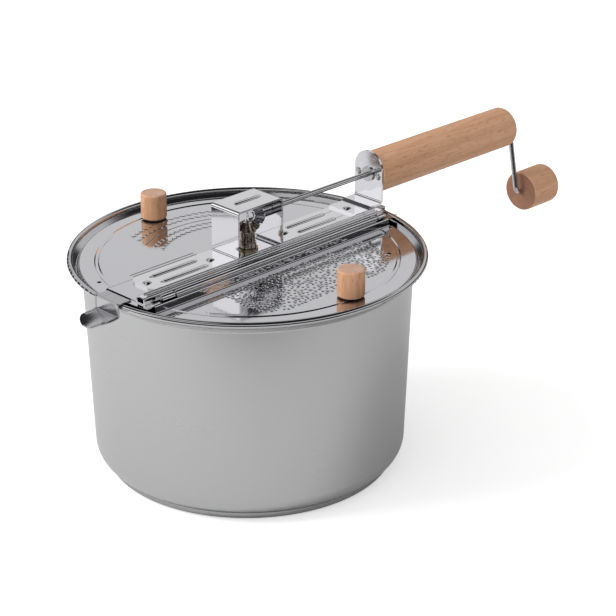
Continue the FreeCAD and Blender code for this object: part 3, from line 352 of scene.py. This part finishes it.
def press_out(tree, given, points, turn, scale):
    """A boss on each point, made real, smoothed and given its finish."""
    placed = add(tree, "GeometryNodeInstanceOnPoints", {
        "Points": points, "Instance": pressed_boss(tree), "Rotation": turn, "Scale": scale})
    real = add(tree, "GeometryNodeRealizeInstances", {0: placed.outputs[0]})
    smooth = add(tree, "GeometryNodeSetShadeSmooth", {0: real.outputs[0]})
    skin = add(tree, "GeometryNodeSetMaterial", {
        "Geometry": smooth.outputs[0], "Material": given["Skin"]})
    add(tree, "NodeGroupOutput", {0: skin.outputs[0]})
    return tree


def boss_field():
    """Round bosses of mixed size, scattered over an outline with a least distance between them."""
    tree, given = relief_tree("boss_field", [
        ("Spacing", "Float"), ("Smallest", "Float"), ("Largest", "Float"), ("Height", "Float"),
        ("Seed", "Int"), ("Skin", "Material")])
    spread = add(tree, "GeometryNodeDistributePointsOnFaces", {
        "Mesh": given["Path"], "Distance Min": given["Spacing"], "Density Max": CROWD,
        "Seed": given["Seed"]}, distribute_method="POISSON")
    width, stretch, way = [
        add(tree, "FunctionNodeRandomValue", {
            DRAW_LOW: lowest, DRAW_HIGH: highest, "Seed": given["Seed"]}, data_type="FLOAT").outputs[DRAWN]
        for lowest, highest in ((given["Smallest"], given["Largest"]), (0.75, 1.25), (0.0, FULL_TURN))]
    length = add(tree, "ShaderNodeMath", {0: width, 1: stretch}, operation="MULTIPLY")
    scale = add(tree, "ShaderNodeCombineXYZ", {"X": length.outputs[0], "Y": width, "Z": given["Height"]})
    turn = add(tree, "ShaderNodeCombineXYZ", {"Z": way})
    return press_out(tree, given, spread.outputs["Points"], turn.outputs[0], scale.outputs[0])


def boss_row():
    """Long bosses one after another on a path, each swung to the other side of it than the last."""
    tree, given = relief_tree("boss_row", [
        ("Count", "Int"), ("Length", "Float"), ("Width", "Float"), ("Height", "Float"),
        ("Swing", "Float"), ("Skin", "Material")])
    curve = add(tree, "GeometryNodeMeshToCurve", {0: given["Path"]})
    steps = add(tree, "GeometryNodeCurveToPoints", {0: curve.outputs[0], "Count": given["Count"]},
                mode="COUNT")
    way = add(tree, "ShaderNodeSeparateXYZ", {"Vector": steps.outputs["Tangent"]}).outputs
    along = add(tree, "ShaderNodeMath", {0: way["Y"], 1: way["X"]}, operation="ARCTAN2")
    order = add(tree, "GeometryNodeInputIndex").outputs[0]
    odd = add(tree, "ShaderNodeMath", {0: order, 1: 2.0}, operation="MODULO")
    side = add(tree, "ShaderNodeMath", {0: odd.outputs[0], 1: 2.0, 2: -1.0}, operation="MULTIPLY_ADD")
    angle = add(tree, "ShaderNodeMath", {0: side.outputs[0], 1: given["Swing"], 2: along.outputs[0]},
                operation="MULTIPLY_ADD")
    turn = add(tree, "ShaderNodeCombineXYZ", {"Z": angle.outputs[0]})
    scale = add(tree, "ShaderNodeCombineXYZ", {
        "X": given["Length"], "Y": given["Width"], "Z": given["Height"]})
    return press_out(tree, given, steps.outputs["Points"], turn.outputs[0], scale.outputs[0])


def grow(tree, points, sizes, closed=False):
    """The plain mesh that the tree makes of a path on the panel, or of the outline that it closes."""
    count = len(points)
    edges = [] if closed else [(i, i + 1) for i in range(count - 1)]
    faces = [tuple(range(count))] if closed else []
    path = bpy.data.meshes.new(tree.name)
    path.from_pydata([(x * MM, y * MM, panel_top) for x, y in points], edges, faces)
    holder = new_piece(tree.name, path)
    modifier = holder.modifiers.new("relief", "NODES")
    modifier.node_group = tree
    for item in tree.interface.items_tree:
        if item.in_out == "INPUT" and item.name in sizes:
            modifier[item.identifier] = sizes[item.name]
    evaluated = holder.evaluated_get(bpy.context.evaluated_depsgraph_get())
    made = bpy.data.meshes.new_from_object(evaluated)
    bpy.data.objects.remove(holder)
    return made


def arc(radius, start, end, count=40):
    """Points in mm round the lid's axis, from one angle to another in degrees."""
    step = (end - start) / (count - 1)
    angles = [math.radians(start + step * i) for i in range(count)]
    return [(radius * math.cos(a), radius * math.sin(a)) for a in angles]


# ---------------------------------------------------------------- relief on the two lid halves

# sizes of the bosses; the swing is in radians
STITCH = {"Length": 3.6 * MM, "Width": 1.0 * MM, "Height": 0.32 * MM, "Swing": 0.7, "Skin": lid_steel}
BEAD = {"Length": 0.9 * MM, "Width": 0.9 * MM, "Height": 0.3 * MM, "Swing": 0.0, "Skin": lid_steel}
PEBBLE = {"Spacing": 2.9 * MM, "Smallest": 1.2 * MM, "Largest": 2.2 * MM, "Height": 0.34 * MM,
          "Seed": 4, "Skin": lid_steel}

# curved rows of stitches behind the arch: radius in mm, half the spread in degrees, stitches
STITCH_ROWS = ((92, 24, 30), (85, 27, 32), (70, 33, 32), (63, 36, 32))
# one curved row of beads in the middle of them: radius, start and end in degrees, beads
BEAD_ARC, BEAD_ARC_COUNT = (77.5, 60, 120), 52
# two straight rows beside the strip's front foot: their ends on X, their places on Y, beads in each
BEAD_LINE_START, BEAD_LINE_END, BEAD_LINE_PLACES, BEAD_LINE_COUNT = -84, -26, (27.5, 31), 44

# the flap's field of pebbles keeps within this arc and these lines, and has two corners at the back
FIELD_ARC = (101, 218, 322)
FIELD_LEFT, FIELD_RIGHT, FIELD_FRONT = -66, 74, -90
FIELD_BACK_CORNERS = [(76, -38), (-62, -38)]


def lid_frieze():
    """Stitches and beads pressed in the fixed half, a generic pattern."""
    row = boss_row()
    rows = [grow(row, arc(radius, 90 - half, 90 + half), dict(STITCH, Count=count))
            for radius, half, count in STITCH_ROWS]
    rows.append(grow(row, arc(*BEAD_ARC), dict(BEAD, Count=BEAD_ARC_COUNT)))
    rows += [grow(row, [(BEAD_LINE_START, y), (BEAD_LINE_END, y)], dict(BEAD, Count=BEAD_LINE_COUNT))
             for y in BEAD_LINE_PLACES]
    whole = bmesh.new()
    for made in rows:
        whole.from_mesh(made)
    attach(close_shape(whole, "lid_frieze", lid_steel), "lid")


def flap_pebbles():
    """Pebbles pressed in the flap, a generic pattern."""
    outline = [(x, y) for x, y in arc(*FIELD_ARC) if FIELD_LEFT < x < FIELD_RIGHT and y > FIELD_FRONT]
    made = grow(boss_field(), outline + FIELD_BACK_CORNERS, PEBBLE, closed=True)
    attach(new_piece("flap_pebbles", made), "flap")


# ---------------------------------------------------------------- ribs, seam tongues and clip tabs

# steps of a rib's arch, its foot in the sheet in mm, the run-out of its ends in half widths, and
# the shares of that run-out where it is shaped
RIB_STEPS, RIB_FOOT, RIB_RUN, RIB_RUN_SHARES = 10, 0.15, 1.6, (0.03, 0.2, 0.5, 1.0)
# ribs of the strip and of the rail, in mm
STRIP_RIB_HALF, STRIP_RIB_HEIGHT, STRIP_RIB_SIDES = 1.9, 1.0, (-6, 6)
FOOT_RIBS, ARCH_RIB = ((-86, -44), (44, 84)), (-13, 13)
RAIL_RIB_HALF, RAIL_RIB_HEIGHT, RAIL_RIB_SIDES, RAIL_RIB_INSET = 1.1, 0.9, (-1.6, 1.6), 4

# a seam tongue's outline at the rear end of the hinge; the front one mirrors it
TONGUE = ((112, -10), (123.8, -10), (120.8, -29.6), (112, -29.6))
TONGUE_DROP, TONGUE_SHEET = 0.9, 0.6

# about how far a thumb tab's sides curl up in mm, the share of its length that stays flat, and the
# power that starts the curl softly; then the cuts in each of its edges, and its sharp edges' angle
TAB_CURL, TAB_FLAT_SHARE, TAB_CURL_POWER = 5.2, 0.1, 1.4
TAB_CUTS, TAB_SHARP = 8, math.radians(35)


def press_rib(shape, start, end, side, level, half, height):
    """Half-round rib along X, in mm, with both ends run out and a flat foot in the sheet."""
    run = half * RIB_RUN
    shares = [(t, (1 - (1 - t) ** 2) ** 0.5) for t in RIB_RUN_SHARES]
    places = [(start + run * t, share) for t, share in shares]
    places += [(end - run * t, share) for t, share in reversed(shares)]
    arch = [math.radians(180 / RIB_STEPS * i) for i in range(RIB_STEPS + 1)]
    rings = []
    for x, share in places:
        ring = [(half * share * math.cos(a), height * share * math.sin(a)) for a in arch]
        ring += [(-half * share, -RIB_FOOT), (half * share, -RIB_FOOT)]
        rings.append([shape.verts.new((x * MM, (side + y) * MM, (level + z) * MM)) for y, z in ring])
    count = len(rings[0])
    for ring, after in zip(rings, rings[1:]):
        for i in range(count):
            shape.faces.new((ring[i], ring[(i + 1) % count], after[(i + 1) % count], after[i]))
    shape.faces.new(rings[0])
    shape.faces.new(rings[-1][::-1])


def bracket_ribs():
    """Ribs pressed along the strip's feet, over the arch and along the rail."""
    foot_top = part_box("handle_bracket")[0].z / MM
    arch_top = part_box("gear_bracket")[1].z / MM
    rail_low, rail_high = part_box("hinge_rail")
    rail_middle = (rail_low.y + rail_high.y) / 2 / MM
    shape = bmesh.new()
    for start, end in FOOT_RIBS:
        for side in STRIP_RIB_SIDES:
            press_rib(shape, start, end, side, foot_top, STRIP_RIB_HALF, STRIP_RIB_HEIGHT)
    press_rib(shape, *ARCH_RIB, 0, arch_top, STRIP_RIB_HALF, STRIP_RIB_HEIGHT)
    for side in RAIL_RIB_SIDES:
        press_rib(shape, rail_low.x / MM + RAIL_RIB_INSET, rail_high.x / MM - RAIL_RIB_INSET,
                  rail_middle + side, rail_high.z / MM, RAIL_RIB_HALF, RAIL_RIB_HEIGHT)
    bmesh.ops.recalc_face_normals(shape, faces=shape.faces)
    for face in shape.faces:
        face.smooth = len(face.verts) == 4
    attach(close_shape(shape, "bracket_ribs", strip_steel), "lid")


def land_ends():
    """Thin tongues of the lid's sheet that close its seam at the rim, under the hinge's two ends."""
    shape = bmesh.new()
    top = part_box("gear_bracket")[0].z - TONGUE_DROP * MM
    for end in (-1, 1):
        outline = [(end * x * MM, y * MM) for x, y in TONGUE]
        upper = [shape.verts.new((x, y, top)) for x, y in outline]
        lower = [shape.verts.new((x, y, top - TONGUE_SHEET * MM)) for x, y in outline]
        count = len(outline)
        shape.faces.new(upper)
        shape.faces.new(lower[::-1])
        for i in range(count):
            shape.faces.new((lower[i], lower[(i + 1) % count], upper[(i + 1) % count], upper[i]))
    bmesh.ops.recalc_face_normals(shape, faces=shape.faces)
    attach(close_shape(shape, "land_ends", lid_steel), "lid")


def cupped_lever(node, body):
    """A clip's thumb tab with its sides curled up into a shallow scoop, in place of the flat leaf."""
    low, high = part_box(node)
    root, tip = sorted((abs(low.x), abs(high.x)))
    shape = bmesh.new()
    shape.from_mesh(nodes[node].data)
    bmesh.ops.remove_doubles(shape, verts=shape.verts, dist=0.0001 * MM)
    bmesh.ops.subdivide_edges(shape, edges=shape.edges, cuts=TAB_CUTS, use_grid_fill=True)
    for vert in shape.verts:
        share = (abs(vert.co.x) - root) / (tip - root)
        reach = max(0.0, share - TAB_FLAT_SHARE) ** TAB_CURL_POWER
        vert.co.z += TAB_CURL * MM * reach * (vert.co.y / high.y) ** 2
    bmesh.ops.recalc_face_normals(shape, faces=shape.faces)
    for face in shape.faces:
        face.smooth = True
    piece = close_shape(shape, node + "_cupped", spring_steel)
    piece.data.set_sharp_from_angle(angle=TAB_SHARP)
    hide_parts(node)
    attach(piece, body)


lid_frieze()
flap_pebbles()
bracket_ribs()
land_ends()
cupped_lever("front_clip_lever", "front_clip")
cupped_lever("rear_clip_lever", "rear_clip")


# ---------------------------------------------------------------- floor

# the paper ends a short way in front of the pot: past its edge the steel mirrors the dark room,
# which greys the middle of the wall a little
PAPER_NEAR, PAPER_FAR, PAPER_SIDE = -0.43, 9.0, 9.0
PAPER_TURN, PAPER_DROP = math.radians(52), 0.4 * MM
# its own glow, added to the light that falls on it
GLOW_TO_EYE, GLOW_IN_STEEL = 0.50, 0.02


def floor_paper():
    """Matt white paper: it keeps the soft shadow, and reads as white to the eye and in the steel."""
    finish, tree = new_finish("paper_matt_white")
    path = add(tree, "ShaderNodeLightPath").outputs
    to_eye = add(tree, "ShaderNodeMath", {0: path["Is Camera Ray"], 1: GLOW_TO_EYE},
                 operation="MULTIPLY")
    glow = add(tree, "ShaderNodeMath", {
        0: path["Is Glossy Ray"], 1: GLOW_IN_STEEL, 2: to_eye.outputs[0]}, operation="MULTIPLY_ADD")
    shader = add(tree, "ShaderNodeBsdfPrincipled", {
        "Base Color": colour("#E9E9E9"), "Roughness": 1.0, "Specular IOR Level": 0.0,
        "Emission Color": colour("#FFFFFF"), "Emission Strength": glow.outputs[0]})
    add(tree, "ShaderNodeOutputMaterial", {"Surface": shader.outputs[0]})
    return finish


def paper_floor():
    """One flat sheet just under the foot."""
    mesh = bpy.data.meshes.new("paper_floor")
    corners = [(PAPER_NEAR, -PAPER_SIDE, 0), (PAPER_FAR, -PAPER_SIDE, 0),
               (PAPER_FAR, PAPER_SIDE, 0), (PAPER_NEAR, PAPER_SIDE, 0)]
    mesh.from_pydata(corners, [], [(0, 1, 2, 3)])
    mesh.materials.append(floor_paper())
    floor = new_piece("paper_floor", mesh)
    floor.location.z = -PAPER_DROP
    floor.rotation_euler.z = PAPER_TURN


# ---------------------------------------------------------------- sky

# directions seen from the popper
SKYLIGHT = (-0.34, 0.24, 0.91)
WINDOW = (-0.59, 0.60, 0.54)
SOFT_SIDE = (-0.70, 0.15, -0.45)


def mirrored_room(tree, aim):
    """What the steel mirrors: a pale room with one bright window, a dark roof with a skylight in
    it, and a dark horizon, which draw the dark and bright lines on folds and relief."""
    height = add(tree, "ShaderNodeSeparateXYZ", {"Vector": aim}).outputs["Z"]
    roof = add(tree, "ShaderNodeMapRange", {
        "Value": height, "From Min": 0.58, "From Max": 0.76, "To Min": 0.0, "To Max": 1.0},
        interpolation_type="SMOOTHSTEP")
    to_skylight = add(tree, "ShaderNodeVectorMath", {0: aim, 1: SKYLIGHT}, operation="DOT_PRODUCT")
    hole = add(tree, "ShaderNodeMapRange", {
        "Value": to_skylight.outputs["Value"], "From Min": 0.945, "From Max": 0.975,
        "To Min": 1.0, "To Max": 0.0}, interpolation_type="SMOOTHSTEP")
    ceiling = add(tree, "ShaderNodeMath", {0: roof.outputs[0], 1: hole.outputs[0]},
                  operation="MULTIPLY")
    horizon = add(tree, "ShaderNodeMapRange", {
        "Value": height, "From Min": 0.22, "From Max": 0.335, "To Min": 0.95, "To Max": 0.0},
        interpolation_type="SMOOTHSTEP")
    dark = add(tree, "ShaderNodeMath", {0: ceiling.outputs[0], 1: horizon.outputs[0]},
               operation="MAXIMUM")
    room = add(tree, "ShaderNodeValToRGB", {"Fac": dark.outputs[0]},
               stops=((0.0, "#E4E4E6"), (0.5, "#8E8E90"), (1.0, "#262628")))
    to_window = add(tree, "ShaderNodeVectorMath", {0: aim, 1: WINDOW}, operation="DOT_PRODUCT")
    glare = add(tree, "ShaderNodeMapRange", {
        "Value": to_window.outputs["Value"], "From Min": 0.90, "From Max": 0.97,
        "To Min": 1.0, "To Max": 1.7}, interpolation_type="SMOOTHSTEP")
    return add(tree, "ShaderNodeBackground", {
        "Color": room.outputs["Color"], "Strength": glare.outputs[0]}).outputs[0]


def soft_fill(tree, aim):
    """Soft light that comes more from the left and low down than from above."""
    to_side = add(tree, "ShaderNodeVectorMath", {0: aim, 1: SOFT_SIDE}, operation="DOT_PRODUCT")
    level = add(tree, "ShaderNodeMapRange", {
        "Value": to_side.outputs["Value"], "From Min": -0.8, "From Max": 0.8,
        "To Min": 0.32, "To Max": 1.52})
    return add(tree, "ShaderNodeBackground", {
        "Color": colour("#FFFFFF"), "Strength": level.outputs[0]}).outputs[0]


def studio_sky():
    """White to the eye, a room to the steel, and soft light to everything else."""
    world = bpy.data.worlds.new("studio")
    scene.world = world
    world.use_nodes = True
    tree = world.node_tree
    tree.nodes.clear()
    aim = add(tree, "ShaderNodeTexCoord").outputs["Generated"]
    path = add(tree, "ShaderNodeLightPath").outputs
    white = add(tree, "ShaderNodeBackground", {"Color": colour("#FFFFFF"), "Strength": 1.0})
    lit = add(tree, "ShaderNodeMixShader", {
        0: path["Is Glossy Ray"], 1: soft_fill(tree, aim), 2: mirrored_room(tree, aim)})
    shown = add(tree, "ShaderNodeMixShader", {
        0: path["Is Camera Ray"], 1: lit.outputs[0], 2: white.outputs[0]})
    add(tree, "ShaderNodeOutputWorld", {"Surface": shown.outputs[0]})


# ---------------------------------------------------------------- lamps and camera

# places and the distance in metres, lens and sensor in mm; the view's way is a unit vector
LAMP_AIM = Vector((0.03, 0.0, 0.1))
VIEW_AIM, VIEW_WAY = Vector((0.03078, -0.03046, 0.1158)), Vector((0.6426, 0.6493, -0.4067))
VIEW_DISTANCE, VIEW_LENS, VIEW_SENSOR = 1.4596, 116.9, 36


def soft_lamp(name, place, size, power):
    """Square soft box that lights the wood and the paper but isn't mirrored in the steel."""
    lamp = bpy.data.lights.new(name, "AREA")
    lamp.shape = "RECTANGLE"
    lamp.size = lamp.size_y = size
    lamp.energy = power
    holder = new_piece(name, lamp)
    holder.location = place
    holder.rotation_euler = (LAMP_AIM - Vector(place)).to_track_quat("-Z", "Y").to_euler()
    holder.visible_glossy = False


def place_camera():
    """Camera left of the front and above the lid, aimed at the middle of the popper."""
    data = bpy.data.cameras.new("camera")
    data.lens, data.sensor_width = VIEW_LENS, VIEW_SENSOR
    camera = new_piece("camera", data)
    camera.location = VIEW_AIM - VIEW_WAY * VIEW_DISTANCE
    camera.rotation_euler = VIEW_WAY.to_track_quat("-Z", "Y").to_euler()
    scene.camera = camera


paper_floor()
studio_sky()
soft_lamp("key_lamp", place=(-1.40, 0.95, 1.55), size=1.0, power=21)
soft_lamp("low_lamp", place=(-0.80, 0.50, 0.85), size=0.5, power=2.5)
place_camera()
scene.view_settings.view_transform = "Standard"
